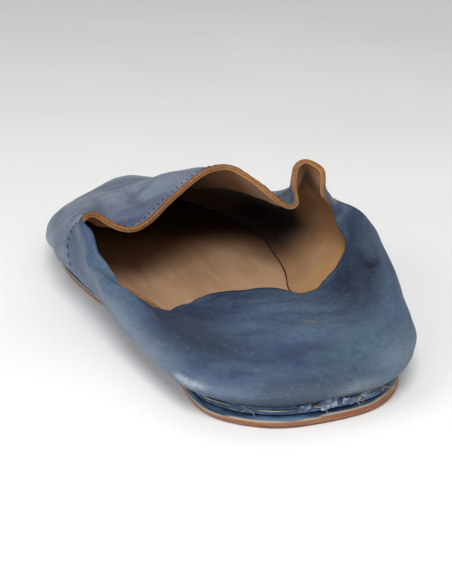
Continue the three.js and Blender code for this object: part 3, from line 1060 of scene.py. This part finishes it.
def loose_threads(thread):
    """Each thread wanders off in short steps, with a curl of its own, and thins towards its end."""
    for tuft in TUFTS:
        start, towards = np.array(last_point(*tuft.at)), np.array(tuft.towards)
        lines = []
        for _ in range(tuft.count):
            heading = towards + rng.normal(0, 0.15, 3)
            place = start + rng.normal(0, 0.35, 3) * MM
            line, curl = [place], rng.normal(0, 0.11, 3)
            for _ in range(10):
                heading = heading / np.linalg.norm(heading) + curl + rng.normal(0, 0.12, 3)
                onward = heading / np.linalg.norm(heading) * tuft.length * MM / 10
                place = place + onward * rng.uniform(0.7, 1.2)
                line.append(place)
            lines.append(np.array(line))
        tapers = [np.linspace(1.0, 0.35, len(line)) for line in lines]
        name = "loose_threads_" + tuft.name
        cords(name, lines, tapers, 0.14 * MM, thread, sides=1, closed=False)


def torn_flakes(material):
    """Small ragged sheets that bend away from the heel's edge."""
    bm = bmesh.new()
    for flake in FLAKES:
        along = Vector(flake.along).normalized()
        out = along.cross(Vector((0, 0, 1))).normalized()
        turn = Matrix((along, out.cross(along), out)).transposed().to_4x4()
        size = Matrix.Diagonal((flake.width / 2 * MM, flake.height / 2 * MM, 1, 1))
        lay = Matrix.Translation(last_point(*flake.at)) @ turn @ size
        for v in bmesh.ops.create_grid(bm, x_segments=12, y_segments=6, size=1, matrix=lay)["verts"]:
            across = lay.inverted() @ v.co
            stand_off = flake.off * MM * max(0.0, 0.5 + 0.5 * across.y) ** 1.5 * (0.6 + 0.4 * across.x)
            ragged = 0.25 * MM if v.is_boundary else 0.06 * MM
            v.co += out * stand_off + Vector(rng.normal(0, ragged, 3))
    mesh = refined(with_modifier(mesh_of(bm), "SOLIDIFY", thickness=0.5 * MM, offset=0.0), 1)
    mesh.name = "torn_flakes"
    finished_piece("torn_flakes", mesh, [material])


# The scene.
YAW, ELEVATION = math.radians(26), math.radians(20)  # the viewer looks to the right of the toe, and down
EYE_DISTANCE, EYE_ASIDE, EYE_ABOVE = 0.380, 0.02233, 0.04512  # the eye's place, measured from the heel
GAZE_LEFT, GAZE_DOWN = 0.1157, 0.011  # from the same place the view turns to the middle of the one shoe
LENS, SENSOR = 75.5, 36  # a longer lens fills the picture with it


def viewer():
    """The viewer stands behind the heel on the shoe's left and looks down at it."""
    forward = Vector((math.sin(YAW) * math.cos(ELEVATION), math.cos(YAW) * math.cos(ELEVATION),
                      -math.sin(ELEVATION)))
    right = Vector((math.cos(YAW), -math.sin(YAW), 0))
    up = right.cross(forward)
    place = last_point(-13, 0, 0) - forward * EYE_DISTANCE + right * EYE_ASIDE + up * EYE_ABOVE
    gaze = (forward - right * GAZE_LEFT - up * GAZE_DOWN).normalized()
    level = gaze.cross(Vector((0, 0, 1))).normalized()
    camera = bpy.data.cameras.new("viewer")
    camera.lens = LENS
    camera.sensor_width = SENSOR
    holder = placed("viewer", camera)
    turn = Matrix((level, level.cross(gaze), -gaze)).transposed().to_4x4()
    holder.matrix_world = Matrix.Translation(place) @ turn
    bpy.context.scene.camera = holder


def soft_light(name, place, towards, size, power):
    light = bpy.data.lights.new(name, "AREA")
    light.shape = "DISK"
    light.size = size
    light.energy = power
    holder = placed(name, light)
    holder.location = place
    holder.rotation_euler = (Vector(towards) - Vector(place)).to_track_quat("-Z", "Y").to_euler()


def studio():
    """A pale floor just under the sole, a white room and two soft lights."""
    bm = bmesh.new()
    bmesh.ops.create_grid(bm, x_segments=1, y_segments=1, size=4)
    mesh = mesh_of(bm, "floor")
    mesh.materials.append(paper_floor())
    floor = placed("floor", mesh)
    floor.location.z = -0.2 * MM
    world = bpy.data.worlds.new("white_room")
    world.use_nodes = True
    background = world.node_tree.nodes["Background"].inputs
    background["Color"].default_value = (1, 1, 1, 1)
    background["Strength"].default_value = 0.5
    bpy.context.scene.world = world
    soft_light("overhead", (-0.25, -0.75, 0.85), (0, 0, 0), 0.5, 8.5)
    soft_light("left_window", (-0.9, -0.3, 0.5), (0, -0.03, 0.02), 0.7, 3)
    bpy.context.scene.view_settings.view_transform = "Standard"


viewer()
studio()

blue = blue_grain_leather()
cut_edge = cut_edge_leather()
tan = lining_leather()
dark_thread = waxed_thread("dark_thread", "141c24", "2c3a44")
pale_thread = waxed_thread("pale_thread", "8d8f8c", "c9c2ae")
grain_bm, flesh_bm = upper_sheets()
skin, topline, grain_places, grain_shifts = grain_sheet(grain_bm, blue, cut_edge)
inner_topline = lining_sheet(flesh_bm, tan, grain_places, grain_shifts)
edge_beads(topline, inner_topline, waxed_thread("dark_grain_edge", "4a3a2c", "6b4e34"), cut_edge, tan, blue)
outsole_piece(sole_leather())
blue_edge = rand_leather()
rand_piece(blue_edge)
insole_piece(insole_leather())

edge_layers(blue_edge, pale_thread)
loose_threads(pale_thread)
torn_flakes(torn_fibres())

THROAT_CORNERS = 101  # the vamp's part of the topline lies further along than this
vamp_rim = np.array([p for p in topline if p[1] > last_point(0, THROAT_CORNERS, 0).y])
throat = row_beside_topline(skin, vamp_rim, 3.2 * MM)
stitched_row("throat_stitches", throat, skin, 1.5 * MM, 1.3 * MM, 0.5 * MM, dark_thread)
for side, seam in SIDE_SEAMS.items():
    line = np.array([skin.find_nearest(Vector(p))[0] for p in smooth_path(seam)])
    name = side + "_seam_stitches"
    stitched_row(name, line, skin, 1.6 * MM, 1.8 * MM, 0.42 * MM, dark_thread)
